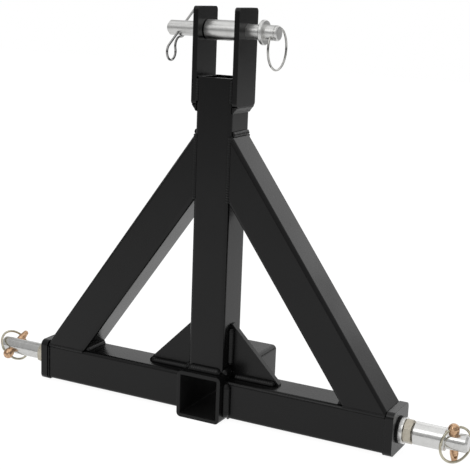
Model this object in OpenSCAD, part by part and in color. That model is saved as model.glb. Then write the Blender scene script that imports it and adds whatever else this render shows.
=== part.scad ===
// Three-point trailer hitch adapter: a welded A-frame with a square receiver tube low in the middle,
// a threaded stud with a linch pin at each end of the crossbar, and a draw pin between two ears on top.
// Millimetres. X runs along the crossbar, Y runs back through the receiver, Z is up from the floor.
// The origin lies under the middle of the crossbar, on the underside of the receiver tube.

/* [Square tubing] */
// Outside width of the crossbar, mast and brace tubing
tube_w = 50.8; // [44:0.1:60]
// Wall of that tubing
tube_wall = 4.8; // [3:0.1:6]
// Outside corner radius of that tubing
tube_corner = 5; // [3:0.5:8]

/* [Receiver] */
// Outside width of the receiver tube
receiver_w = 63.5; // [60:0.1:70]
// Wall of the receiver tube
receiver_wall = 5; // [4:0.05:8]
// Outside corner radius of the receiver tube
receiver_corner = 6; // [3:0.5:9]
// Length of the receiver tube
receiver_len = 169; // [140:1:220]
// How far the receiver's mouth stands in front of the crossbar's middle
receiver_front = 42.4; // [30:0.2:60]
// Height of the crossbar's underside above the receiver's underside
bar_lift = 4; // [1:0.5:7]
// Diameter of the cross hole for the hitch pin
hitch_hole_d = 16.2; // [14:0.1:18]
// Distance of the cross hole from the receiver's rear end
hitch_hole_set = 63.5; // [45:0.5:75]

/* [Crossbar ends] */
// Distance over the outer faces of the two end plates
plate_span = 526; // [460:1:600]
// Width and height of an end plate
plate_w = 57; // [54:0.5:64]
// Thickness of an end plate
plate_t = 10; // [6:0.5:14]
// Corner radius of an end plate
plate_corner = 8; // [2:0.5:10]
// Height of the stud's axis above the middle of the crossbar
stud_rise = 1.6; // [0:0.1:3]

/* [Mast and ears] */
// Height of the mast's open top
mast_top = 446.5; // [400:0.5:500]
// Height of the top draw pin's axis
top_pin_z = 504; // [470:0.5:540]
// How far the ears reach above the draw pin's axis
ear_rise = 29; // [22:0.5:40]
// How far the ears reach below the mast's open top
ear_lap = 35.5; // [25:0.5:60]
// Thickness of an ear
ear_t = 7; // [5:0.5:12]
// Corner radius of an ear
ear_corner = 5; // [2:0.5:10]

/* [Braces and gussets] */
// Height at which a brace's outer face meets the mast
brace_top = 376; // [320:1:400]
// How far past the end plate's inner face a brace's outer face would meet the crossbar
brace_past = 2; // [0:0.5:6]
// Length of a gusset's two legs
gusset_leg = 72; // [50:1:90]
// Thickness of a gusset
gusset_t = 8; // [5:0.5:12]
// Width of the blunt tips of a gusset
gusset_tip = 2; // [1:0.5:10]
// Leg length of the weld beads
bead = 6; // [4:0.5:8]

/* [Lower studs] */
// Diameter of a stud
stud_d = 22.2; // [20:0.1:24]
// How far a stud reaches past its linch pin hole
stud_past_hole = 18.5; // [15:0.5:24]
// Distance of the linch pin hole from the end plate's outer face
linch_set = 68.7; // [64:0.1:80]
// How far the threaded end lies below the stud's surface
thread_drop = 1.6; // [0.5:0.05:2]
// Outside diameter of the flat washers
washer_d = 34.5; // [30:0.5:46]
// Thickness of the flat washers
washer_t = 2.5; // [2:0.1:4]
// Outside diameter of the split lock washers
lock_d = 33.6; // [30:0.2:40]
// Thickness of the split lock washers
lock_t = 5; // [3:0.1:7]
// Width across the flats of the jam nuts
nut_af = 28; // [26:0.1:38]
// Thickness of the jam nuts
nut_t = 10.5; // [8:0.5:14]
// Outside diameter of the step-up sleeve on the right stud
sleeve_d = 28.6; // [26:0.1:32]
// Length of the step-up sleeve
sleeve_len = 40; // [34:0.5:42]

/* [Linch pins] */
// Diameter of a linch pin's body
linch_d = 10.6; // [9:0.1:12]
// How far a linch pin's body reaches past the stud's axis
linch_reach = 30.8; // [26:0.2:31]
// Diameter of a linch pin's head
linch_head_d = 14; // [13:0.5:18]
// Height of a linch pin's head
linch_head_h = 13; // [11:0.5:16]
// Radius of a linch pin's snap ring, to the middle of the wire
snap_r = 22.5; // [21:0.5:26]
// Diameter of the snap ring's wire
snap_wire = 3.2; // [2.5:0.1:3.6]
// Turn of the snap ring's plane away from the stud's axis
snap_turn = 52; // [48:1:70]
// Lean of the closed snap ring away from the linch pin's body, towards the stud's tip
snap_lean = 10; // [9:0.5:14]
// Turn of the right stud and its linch pin about the stud's axis
stud_turn_right = 16; // [0:0.5:30]
// Turn of the left stud and its linch pin about the stud's axis
stud_turn_left = 116.5; // [90:0.5:140]

/* [Top draw pin] */
// Diameter of the draw pin
draw_d = 19; // [17:0.1:20]
// Reach of the draw pin to the left of the middle
draw_left = 81; // [76:0.5:95]
// Reach of the draw pin to the right of the middle
draw_right = 74.5; // [73:0.5:85]
// Diameter of the draw pin's collar
collar_d = 31; // [27:0.5:36]
// Thickness of the draw pin's collar
collar_t = 5; // [3:0.5:7]
// Distance of the collar's inner face from the middle
collar_set = 51.5; // [48:0.5:56]
// Distance of the pull ring's hole from the middle
ring_hole_set = 66; // [64:0.5:67]
// Distance of the clip's hole from the middle
clip_hole_set = 64; // [58:0.5:70]
// Turn of the draw pin with its clip and ring about its own axis
draw_turn = 35; // [0:1:60]
// Outside diameter of the sleeve between the ears
top_sleeve_d = 25.4; // [24:0.1:30]
// Radius of the pull ring, to the middle of the wire
pull_r = 26.4; // [22:0.2:32]
// Diameter of the pull ring's wire
pull_wire = 2.8; // [2:0.1:3.5]
// Diameter of the hairpin clip's wire
clip_wire = 3; // [2:0.1:3.5]
// Radius of the hairpin clip's loop, to the middle of the wire
clip_loop_r = 10.5; // [8:0.5:14]
// Distance of the loop's middle from the draw pin's axis, along the straight leg
clip_loop_set = 36; // [30:0.5:44]
// Reach of the straight leg past the draw pin's axis
clip_leg = 44; // [30:0.5:55]

/* [Fits] */
// Radial clearance of every pin, sleeve and wire that turns or slides in a hole
running_gap = 0.05; // [0.02:0.01:0.1]
// Radial clearance of the washers on the studs
washer_gap = 0.5; // [0.2:0.1:0.8]
// Clearance between a bead and the slanted side of a brace
seam_gap = 0.02; // [0.01:0.01:0.1]
// End clearance of the sleeve between the ears
end_gap = 0.4; // [0.2:0.1:1]

/* [Hidden] */
$fn = 64;
half_w = tube_w / 2;
bar_bottom = bar_lift;
bar_top = bar_lift + tube_w;
receiver_back = receiver_len - receiver_front;
plate_out = plate_span / 2;
plate_in = plate_out - plate_t;
stud_z = bar_lift + half_w + stud_rise;
stud_r = stud_d / 2;
thread_r = stud_r - thread_drop;
linch_x = plate_out + linch_set;
stud_tip = linch_x + stud_past_hole;
washer_out = plate_out + washer_t;
lock_out = washer_out + lock_t;
nut_out = lock_out + nut_t;
sleeve_in = linch_x - linch_head_d / 2 - 2 - sleeve_len;
linch_r = linch_d / 2;
linch_seat = stud_r + 0.1;
snap_pivot = linch_seat + linch_head_h / 2;
snap_half = linch_head_d / 2 + 1.2;
snap_drop = sqrt(snap_r * snap_r - snap_half * snap_half);
ear_top = top_pin_z + ear_rise;
ear_bottom = mast_top - ear_lap;
ear_out = half_w + ear_t;
draw_r = draw_d / 2;
pull_half = draw_r + 1.6;
pull_drop = sqrt(pull_r * pull_r - pull_half * pull_half);
brace_foot = plate_in + brace_past;
brace_run = brace_foot - half_w;
brace_fall = brace_top - bar_top;
brace_lean = atan2(brace_run, brace_fall);
brace_toe = brace_foot - tube_w / cos(brace_lean);
brace_armpit = brace_top - tube_w / sin(brace_lean);
// The clip's sprung leg is a chain of arcs and short links in a plane square to the draw pin:
// the loop, a waist that dips towards the straight leg, a seat round the pin and a flared end.
clip_r = clip_wire / 2;
clip_seat_r = draw_r + clip_r + 0.2;
clip_waist_r = 11.5;
loop_c = [-clip_loop_set, clip_loop_r];
loop_to_waist = clip_loop_r + clip_waist_r;
seat_to_waist = clip_seat_r + clip_waist_r;
loop_dist = norm(loop_c);
waist_along = (loop_to_waist * loop_to_waist - seat_to_waist * seat_to_waist + loop_dist * loop_dist)
    / (2 * loop_dist);
waist_off = sqrt(loop_to_waist * loop_to_waist - waist_along * waist_along);
loop_dir = -loop_c / loop_dist;
waist_c = loop_c + waist_along * loop_dir + waist_off * [-loop_dir[1], loop_dir[0]];
loop_end = atan2(waist_c[1] - loop_c[1], waist_c[0] - loop_c[0]);
seat_start = atan2(waist_c[1], waist_c[0]);
seat_end = 84;
clip_flare = [6.5, clip_seat_r + 2.4];
// How much fuller than the wire the balls are where two lengths of wire join.
ball_over = 0.04;
// Arcs of the wire stop this many degrees short of where they would touch, and a short link joins them.
clip_step = 9;
clip_link = 2;

coat = [0.13, 0.13, 0.14];
bead_coat = [0.17, 0.17, 0.18];
zinc = [0.80, 0.80, 0.78];
pale_zinc = [0.76, 0.72, 0.64];
gold_zinc = [0.74, 0.55, 0.36];
dark_steel = [0.22, 0.22, 0.22];
wire_steel = [0.50, 0.49, 0.46];

// Node to draw, or all of them

// A rectangle about the origin with round corners.
module round_rect(w, h, r) {
    square([w - 2 * r, h], center = true);
    square([w, h - 2 * r], center = true);
    for (x = [-1, 1], y = [-1, 1])
        translate([x * (w / 2 - r), y * (h / 2 - r)])
            circle(r);
}

// The section of a square tube.
module tube_section(w, wall, r, inner_r) {
    difference() {
        round_rect(w, w, r);
        round_rect(w - 2 * wall, w - 2 * wall, inner_r);
    }
}

// A profile drawn in the Y and Z directions, pushed out along X from x0 to x1.
module along_x(x0, x1) {
    translate([x0, 0, 0])
        rotate([90, 0, 90])
            linear_extrude(x1 - x0)
                children();
}

// A profile drawn in the X and Z directions, pushed out along Y from y0 to y1.
module along_y(y0, y1) {
    translate([0, y1, 0])
        rotate([90, 0, 0])
            linear_extrude(y1 - y0)
                children();
}

// Draws its children on the right, and mirrored on the left.
module both_sides() {
    children();
    mirror([1, 0, 0])
        children();
}

// Draws its children in front, and mirrored behind.
module front_and_back() {
    children();
    mirror([0, 1, 0])
        children();
}

// A round bar along X with a bevel at both ends.
module bevelled_rod(x0, x1, r, c0, c1) {
    translate([x0, 0, 0])
        rotate([0, 90, 0])
            rotate_extrude()
                polygon([[0, 0], [r - c0, 0], [r, c0], [r, x1 - x0 - c1], [r - c1, x1 - x0], [0, x1 - x0]]);
}

// A bead with a quarter-round section, lying in the corner of two square faces, with round ends.
// It runs along +Z from the origin and bulges towards +X and +Y.
module corner_bead(len, leg) {
    intersection() {
        union() {
            translate([0, 0, leg])
                cylinder(h = len - 2 * leg, r = leg);
            translate([0, 0, leg])
                sphere(leg);
            translate([0, 0, len - leg])
                sphere(leg);
        }
        cube([leg, leg, len]);
    }
}

// A bead that runs along X, in the corner of a face behind it and a floor below it.
module floor_bead_x(x0, x1, y, z, leg) {
    translate([x0, y, z])
        mirror([0, 1, 0])
            mirror([1, 0, 0])
                rotate([0, -90, 0])
                    corner_bead(x1 - x0, leg);
}

// A round rod with round ends that runs along Y, to be cut into a bead by the pieces it joins.
module round_run_y(x, y0, y1, z, r) {
    translate([x, y0 + r, z])
        rotate([-90, 0, 0])
            cylinder(h = y1 - y0 - 2 * r, r = r);
    for (y = [y0 + r, y1 - r])
        translate([x, y, z])
            sphere(r);
}

module crossbar_half() {
    translate([0, 0, bar_bottom + half_w])
        along_x(receiver_w / 2, plate_in)
            tube_section(tube_w, tube_wall, tube_corner, tube_corner - 3);
}

module crossbar_right() {
    color(coat)
        crossbar_half();
}

module crossbar_left() {
    color(coat)
        mirror([1, 0, 0])
            crossbar_half();
}

// The receiver tube lies front to back, open at both ends, with a cross hole for the hitch pin.
module receiver_tube() {
    color(coat)
        difference() {
            translate([0, 0, receiver_w / 2])
                along_y(-receiver_front, receiver_back)
                    tube_section(receiver_w, receiver_wall, receiver_corner, 1.5);
            translate([-receiver_w, receiver_back - hitch_hole_set, receiver_w / 2])
                rotate([0, 90, 0])
                    cylinder(h = 2 * receiver_w, d = hitch_hole_d);
        }
}

module mast_tube() {
    color(coat)
        translate([0, 0, receiver_w])
            linear_extrude(mast_top - receiver_w)
                tube_section(tube_w, tube_wall, tube_corner, tube_corner - 3);
}

// The run of a brace before its ends are cut, from above its seat on the mast to below its foot.
module brace_run_solid(section_wall, spare) {
    translate([half_w, 0, brace_top])
        rotate([0, 180 - brace_lean, 0])
            translate([half_w, 0, -tube_w])
                linear_extrude(norm([brace_run, brace_fall]) + 2 * tube_w)
                    if (section_wall > 0)
                        tube_section(tube_w, section_wall, tube_corner, tube_corner - 3);
                    else
                        round_rect(tube_w + 2 * spare, tube_w + 2 * spare, tube_corner + spare);
}

// A brace with its top cut upright against the mast and its foot cut level on the crossbar.
module brace(section_wall, spare = 0) {
    intersection() {
        brace_run_solid(section_wall, spare);
        translate([half_w, -tube_w, bar_top - spare])
            cube([plate_in - half_w, 2 * tube_w, brace_top]);
    }
}

module brace_right() {
    color(coat)
        brace(tube_wall);
}

module brace_left() {
    color(coat)
        mirror([1, 0, 0])
            brace(tube_wall);
}

// A triangular plate between mast and crossbar, notched over the receiver's shoulder.
module gusset() {
    along_y(-gusset_t / 2, gusset_t / 2)
        polygon([[half_w, receiver_w], [receiver_w / 2, receiver_w], [receiver_w / 2, bar_top],
            [half_w + gusset_leg, bar_top], [half_w + gusset_leg, bar_top + gusset_tip],
            [half_w + gusset_tip, bar_top + gusset_leg], [half_w, bar_top + gusset_leg]]);
}

module gusset_right() {
    color(coat)
        gusset();
}

module gusset_left() {
    color(coat)
        mirror([1, 0, 0])
            gusset();
}

// An end plate closes the tube and carries the stud.
module end_plate() {
    translate([0, 0, stud_z])
        along_x(plate_in, plate_out)
            difference() {
                round_rect(plate_w, plate_w, plate_corner);
                circle(thread_r + running_gap);
            }
}

module end_plate_right() {
    color(coat)
        end_plate();
}

module end_plate_left() {
    color(coat)
        mirror([1, 0, 0])
            end_plate();
}

// An ear stands on the side of the mast and is drilled for the draw pin.
module ear() {
    along_x(half_w, ear_out)
        difference() {
            translate([0, (ear_top + ear_bottom) / 2])
                round_rect(tube_w, ear_top - ear_bottom, ear_corner);
            translate([0, top_pin_z])
                circle(draw_r + running_gap);
        }
}

module ear_right() {
    color(coat)
        ear();
}

module ear_left() {
    color(coat)
        mirror([1, 0, 0])
            ear();
}

// Fills the groove that two rounded tube corners leave beside an upright seam.
module upright_seam(x, z0, z1, r) {
    translate([x, -half_w + r - 0.9, z0])
        cylinder(h = z1 - z0, r = r);
}

// The outside of the mast, for cutting beads to its shape.
module mast_outside() {
    translate([0, 0, receiver_w])
        linear_extrude(ear_top)
            round_rect(tube_w, tube_w, tube_corner);
}

// The outside of the right-hand half of the crossbar, for cutting beads to its shape.
module crossbar_outside() {
    translate([0, 0, bar_bottom + half_w])
        along_x(receiver_w / 2, plate_in)
            round_rect(tube_w, tube_w, tube_corner);
}

// Fillets under each ear, as wide as the flat of the mast, and thin beads beside its edges.
module ear_welds() {
    color(bead_coat)
        both_sides() {
            along_y(1.5 - half_w, half_w - 1.5)
                translate([half_w, ear_bottom])
                    polygon([[0, 0], [ear_t - 0.4, 0], [ear_t - 0.7, -1.2], [ear_t / 2, -bead * 0.7],
                        [1.2, -bead * 1.35], [0, -bead * 1.4]]);
            front_and_back()
                difference() {
                    upright_seam(half_w - 1.2, ear_bottom + ear_corner, mast_top - 3, 2.6);
                    mast_outside();
                    translate([half_w, -tube_w, 0])
                        cube([tube_w, 2 * tube_w, ear_top + 1]);
                }
        }
}

// Beads over each brace's top edge and down the two upright seams between brace and mast.
module brace_top_welds() {
    color(bead_coat)
        both_sides()
            difference() {
                union() {
                    translate([half_w - 0.6, half_w - tube_corner, brace_top + 0.4])
                        rotate([90, 0, 0])
                            cylinder(h = tube_w - 2 * tube_corner, r = bead * 0.68);
                    front_and_back()
                        upright_seam(half_w - 1, brace_armpit + 2, brace_top - 2, 3.4);
                }
                mast_outside();
                brace(0);
            }
}

// Beads across each brace's inner toe and along the level seams between brace and crossbar.
module brace_foot_welds() {
    color(bead_coat)
        both_sides()
            difference() {
                union() {
                    translate([brace_toe, half_w - tube_corner, bar_top])
                        rotate([90, 0, 0])
                            cylinder(h = tube_w - 2 * tube_corner, r = bead);
                    front_and_back()
                        translate([brace_toe + 2, -half_w + 2.5, bar_top - 1])
                            rotate([0, 90, 0])
                                cylinder(h = plate_in - brace_toe - 4, r = 3.4);
                }
                crossbar_outside();
                brace(0, seam_gap);
                translate([plate_in, -tube_w, 0])
                    cube([tube_w, 2 * tube_w, tube_w * 3]);
            }
}

// Beads on both faces of each gusset, up the mast and out along the crossbar.
module gusset_welds() {
    color(bead_coat)
        both_sides()
            front_and_back() {
                translate([half_w, -gusset_t / 2, receiver_w + bead])
                    mirror([0, 1, 0])
                        corner_bead(gusset_leg + bar_top - receiver_w - bead - 5, bead);
                floor_bead_x(receiver_w / 2 + 0.4, half_w + gusset_leg - 4, -gusset_t / 2, bar_top, bead);
            }
}

// The outside of the receiver, for cutting beads to its shape.
module receiver_outside() {
    translate([0, 0, receiver_w / 2])
        along_y(-receiver_front, receiver_back)
            round_rect(receiver_w, receiver_w, receiver_corner);
}

// Beads round the foot of the mast, on top of the receiver.
module mast_foot_welds() {
    color(bead_coat) {
        front_and_back()
            floor_bead_x(-half_w + 1, half_w - 1, -half_w, receiver_w, bead + 1);
        both_sides()
            front_and_back()
                difference() {
                    round_run_y(half_w, -half_w + 1, -gusset_t / 2 - 0.5, receiver_w, bead);
                    mast_outside();
                    receiver_outside();
                }
    }
}

// Beads where the two halves of the crossbar butt against the receiver: upright and below.
module receiver_welds() {
    color(bead_coat)
        both_sides() {
            front_and_back()
                translate([receiver_w / 2, -half_w, bar_bottom + 2])
                    mirror([0, 1, 0])
                        corner_bead(tube_w - 4, bead + 1.5);
            translate([receiver_w / 2, half_w - tube_corner, bar_bottom])
                rotate([90, 0, 0])
                    mirror([0, 1, 0])
                        corner_bead(tube_w - 2 * tube_corner, bar_lift - 0.6);
        }
}

// A thin bead all round the end of the crossbar, on the inner face of each end plate.
module end_plate_welds() {
    color(bead_coat)
        both_sides()
            difference() {
                translate([0, 0, bar_bottom + half_w])
                    along_x(plate_in - 2.4, plate_in)
                        round_rect(tube_w + 3, tube_w + 3, tube_corner + 1.5);
                crossbar_outside();
                brace(0);
                translate([brace_toe, -tube_w, bar_top - 3.5])
                    cube([plate_span, 2 * tube_w, tube_w]);
            }
}

// A stud with a threaded inner end, drawn as a plain neck, and a bevelled tip. It is turned so that
// its cross hole takes the linch pin as it stands.
module lower_stud(turn) {
    translate([0, 0, stud_z])
        rotate([turn, 0, 0])
            difference() {
                union() {
                    bevelled_rod(plate_in - 8, nut_out + 1, stud_r - thread_drop, 1.5, 0);
                    bevelled_rod(nut_out + 0.6, stud_tip, stud_r, 0, 2.5);
                }
                translate([linch_x, 0, -stud_d])
                    cylinder(h = 2 * stud_d, r = linch_r + running_gap);
            }
}

module lower_stud_right() {
    color(zinc)
        lower_stud(stud_turn_right);
}

module lower_stud_left() {
    color(zinc)
        mirror([1, 0, 0])
            lower_stud(stud_turn_left);
}

module flat_washers() {
    color(dark_steel)
        both_sides()
            translate([0, 0, stud_z])
                along_x(plate_out, washer_out)
                    difference() {
                        circle(d = washer_d);
                        circle(thread_r + washer_gap);
                    }
}

// A split lock washer: a square-section ring, cut through on a slant.
module lock_washers() {
    color(zinc)
        both_sides()
            translate([0, 0, stud_z])
                difference() {
                    along_x(washer_out, lock_out)
                        difference() {
                            circle(d = lock_d);
                            circle(thread_r + washer_gap);
                        }
                    rotate([-35, 0, 0])
                        translate([(washer_out + lock_out) / 2, 0, stud_r + 4])
                            rotate([0, 0, 28])
                                cube([4 * lock_t, 2.4, 20], center = true);
                }
}

// A jam nut: a hexagon with both faces turned back at the corners.
module jam_nuts() {
    color(pale_zinc)
        both_sides()
            translate([lock_out, 0, stud_z])
                rotate([0, 90, 0])
                    difference() {
                        intersection() {
                            cylinder(h = nut_t, r = nut_af / sqrt(3), $fn = 6);
                            rotate_extrude()
                                polygon([[0, 0], [nut_af / 2 - 0.4, 0], [nut_af / 2 + 2.9, 1.9],
                                    [nut_af / 2 + 2.9, nut_t - 1.9], [nut_af / 2 - 0.4, nut_t], [0, nut_t]]);
                        }
                        translate([0, 0, -1])
                            cylinder(h = nut_t + 2, r = thread_r + running_gap);
                    }
}

// A loose sleeve with bevelled rims steps the right stud up to the larger ball size.
module lower_sleeve() {
    color(zinc)
        translate([0, 0, stud_z])
            difference() {
                bevelled_rod(sleeve_in, sleeve_in + sleeve_len, sleeve_d / 2, 0.8, 0.8);
                translate([sleeve_in - 1, 0, 0])
                    rotate([0, 90, 0])
                        cylinder(h = sleeve_len + 2, r = stud_r + running_gap);
            }
}

// Places a linch pin, its head up, at the hole of a stud on the right.
module at_linch(turn) {
    translate([linch_x, 0, stud_z])
        rotate([turn, 0, 0])
            children();
}

// A linch pin: a round body with a tapered nose, and a domed head cross-drilled for the snap ring.
module linch_pin() {
    difference() {
        rotate_extrude()
            polygon([[0, -linch_reach], [linch_r - 2.8, -linch_reach], [linch_r - 1.7, -linch_reach + 1.4],
                [linch_r, -linch_reach + 12], [linch_r, linch_seat], [linch_head_d / 2 - 2, linch_seat],
                [linch_head_d / 2 - 0.4, linch_seat + 2], [linch_head_d / 2, linch_seat + 4],
                [linch_head_d / 2, linch_seat + linch_head_h - 4.6],
                [linch_head_d / 2 - 0.9, linch_seat + linch_head_h - 2.6],
                [linch_head_d / 2 - 2.6, linch_seat + linch_head_h - 0.8],
                [linch_head_d / 2 - 4.6, linch_seat + linch_head_h], [0, linch_seat + linch_head_h]]);
        rotate([0, 0, snap_turn])
            translate([-linch_head_d, 0, snap_pivot])
                rotate([0, 90, 0])
                    cylinder(h = 2 * linch_head_d, r = snap_wire / 2 + running_gap);
    }
}

module linch_pin_right() {
    color(gold_zinc)
        at_linch(stud_turn_right)
            linch_pin();
}

module linch_pin_left() {
    color(gold_zinc)
        mirror([1, 0, 0])
            at_linch(stud_turn_left)
                linch_pin();
}

// A wire ring that hangs from a straight length of itself. The straight length lies on the X axis,
// which is what it turns on, and the round of the ring hangs down from it in the X and Z directions.
module hung_ring(r, half, drop, wire_r) {
    open = asin(half / r);
    rotate([0, 90, 0])
        translate([0, 0, -half])
            cylinder(h = 2 * half, r = wire_r);
    for (s = [-1, 1])
        translate([s * half, 0, 0])
            sphere(wire_r + ball_over);
    translate([0, 0, -drop])
        rotate([90, 0, 0])
            rotate([0, 0, 90 + open])
                rotate_extrude(angle = 360 - 2 * open)
                    translate([r, 0])
                        circle(wire_r);
}

module snap_ring() {
    rotate([0, 0, snap_turn])
        translate([0, 0, snap_pivot])
            rotate([-snap_lean, 0, 0])
                hung_ring(snap_r, snap_half, snap_drop, snap_wire / 2);
}

module linch_ring_right() {
    color(wire_steel)
        at_linch(stud_turn_right)
            snap_ring();
}

module linch_ring_left() {
    color(wire_steel)
        mirror([1, 0, 0])
            at_linch(stud_turn_left)
                snap_ring();
}

// Places a child that is drawn across the draw pin, with +X along its cross holes and +Z up.
module across_draw_pin(x) {
    translate([x, 0, top_pin_z])
        rotate([draw_turn, 0, 0])
            rotate([0, 0, 90])
                children();
}

// The draw pin: a rod with a collar, a necked end, and cross holes for the clip and the pull ring.
module top_pin() {
    color(zinc)
        difference() {
            translate([0, 0, top_pin_z])
                union() {
                    bevelled_rod(-draw_left, draw_right, draw_r, 3, 1.2);
                    bevelled_rod(collar_set, collar_set + collar_t, collar_d / 2, 0.8, 0.8);
                }
            translate([0, 0, top_pin_z])
                rotate([0, 90, 0])
                    rotate_extrude()
                        polygon([[draw_r - 0.9, draw_right - 4.6], [draw_r + 1, draw_right - 4.6],
                            [draw_r + 1, draw_right - 3.2], [draw_r - 0.9, draw_right - 3.2]]);
            across_draw_pin(-clip_hole_set)
                rotate([0, 90, 0])
                    cylinder(h = 2 * draw_d, r = clip_r + running_gap, center = true);
            across_draw_pin(ring_hole_set)
                rotate([0, 90, 0])
                    cylinder(h = 2 * draw_d, r = pull_wire / 2 + running_gap, center = true);
        }
}

module top_sleeve() {
    color(zinc)
        translate([0, 0, top_pin_z])
            difference() {
                bevelled_rod(-half_w + end_gap, half_w - end_gap, top_sleeve_d / 2, 0.8, 0.8);
                rotate([0, 90, 0])
                    cylinder(h = 2 * tube_w, r = draw_r + running_gap, center = true);
            }
}

// A point on a circle about a middle.
function on_arc(c, r, a) = [c[0] + r * cos(a), c[1] + r * sin(a)];

// An arc of wire about a middle, from one angle to the next, in the X and Y directions.
module wire_arc(c, r, a0, a1) {
    translate([c[0], c[1], 0])
        rotate([0, 0, a0])
            rotate_extrude(angle = a1 - a0)
                translate([r, 0])
                    circle(clip_r);
}

// A straight length of wire between two points, with a slightly fuller ball at each end.
module wire_link(p, q) {
    translate([p[0], p[1], 0])
        rotate([0, 0, atan2(q[1] - p[1], q[0] - p[0])])
            rotate([0, 90, 0]) {
                cylinder(h = norm(q - p), r = clip_r);
                for (z = [0, norm(q - p)])
                    translate([0, 0, z])
                        sphere(clip_r + ball_over);
            }
}

// The hairpin clip: a straight leg through the draw pin, a round loop and a sprung leg under the pin.
module hairpin_clip() {
    color(wire_steel)
        across_draw_pin(-clip_hole_set)
            rotate([-90, 0, 0]) {
                bevelled_rod(clip_link - clip_loop_set, clip_leg, clip_r, 0, 0.6);
                wire_link([clip_link - clip_loop_set, 0], on_arc(loop_c, clip_loop_r, 270 - clip_step));
                wire_arc(loop_c, clip_loop_r, loop_end + clip_step, 270 - clip_step);
                wire_link(on_arc(loop_c, clip_loop_r, loop_end + clip_step),
                    on_arc(waist_c, clip_waist_r, loop_end + 180 + clip_step));
                wire_arc(waist_c, clip_waist_r, loop_end + 180 + clip_step, seat_start + 180 - clip_step);
                wire_link(on_arc(waist_c, clip_waist_r, seat_start + 180 - clip_step),
                    on_arc([0, 0], clip_seat_r, seat_start - clip_step));
                wire_arc([0, 0], clip_seat_r, seat_end, seat_start - clip_step);
                wire_link(on_arc([0, 0], clip_seat_r, seat_end), clip_flare);
            }
}

module pull_ring() {
    color(wire_steel)
        across_draw_pin(ring_hole_set)
            hung_ring(pull_r, pull_half, pull_drop, pull_wire / 2);
}

crossbar_left();
crossbar_right();
receiver_tube();
mast_tube();
brace_left();
brace_right();
gusset_left();
gusset_right();
end_plate_left();
end_plate_right();
ear_left();
ear_right();
ear_welds();
brace_top_welds();
brace_foot_welds();
gusset_welds();
mast_foot_welds();
receiver_welds();
end_plate_welds();
lower_stud_left();
lower_stud_right();
flat_washers();
lock_washers();
jam_nuts();
lower_sleeve();
linch_pin_left();
linch_pin_right();
linch_ring_left();
linch_ring_right();
top_pin();
top_sleeve();
hairpin_clip();
pull_ring();
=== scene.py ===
"""Looks of the trailer hitch adapter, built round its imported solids.

The black-coated frame keeps its solids and gets a satin powder coat. The weld runs are rebuilt as
rippled beads, and the snap rings, the pull ring and the hairpin clip are rebuilt as bent wire.
Lengths in the classes are millimetres where their words don't say metres. The meshes are in metres,
in the frame of the solids.
"""

import logging
import math
from dataclasses import dataclass, replace
from enum import Enum
from typing import Any, Sequence

import bmesh
import bpy
import numpy as np
from mathutils import Matrix, Vector


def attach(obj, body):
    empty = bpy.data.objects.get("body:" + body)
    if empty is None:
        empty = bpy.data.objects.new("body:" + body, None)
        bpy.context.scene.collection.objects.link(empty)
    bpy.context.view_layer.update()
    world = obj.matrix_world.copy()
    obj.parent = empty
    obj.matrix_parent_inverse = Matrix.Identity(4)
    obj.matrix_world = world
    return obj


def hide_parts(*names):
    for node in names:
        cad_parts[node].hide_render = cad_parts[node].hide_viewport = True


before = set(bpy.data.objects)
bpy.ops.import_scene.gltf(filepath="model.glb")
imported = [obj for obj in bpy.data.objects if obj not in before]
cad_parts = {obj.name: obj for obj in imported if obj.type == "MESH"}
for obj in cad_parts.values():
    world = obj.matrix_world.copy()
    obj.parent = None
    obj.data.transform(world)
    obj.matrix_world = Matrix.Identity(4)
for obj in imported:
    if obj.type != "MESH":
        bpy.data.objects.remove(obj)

LOG = logging.getLogger("hitch_adapter")
MM = 0.001
Colour = tuple[float, float, float]
Span = tuple[float, float, float, float]
Socket = bpy.types.NodeSocket
Materials = dict[str, bpy.types.Material]

FLOAT = "NodeSocketFloat"
VECTOR = "NodeSocketVector"
GEOMETRY = "NodeSocketGeometry"
MATERIAL = "NodeSocketMaterial"
SHADING = "ShaderNodeTree"


def rgba(colour: Colour) -> Span:
    """Adds a full alpha to a colour."""
    return (colour[0], colour[1], colour[2], 1.0)


def grey(level: float) -> Span:
    """Gives a grey with a full alpha."""
    return (level, level, level, 1.0)


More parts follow.
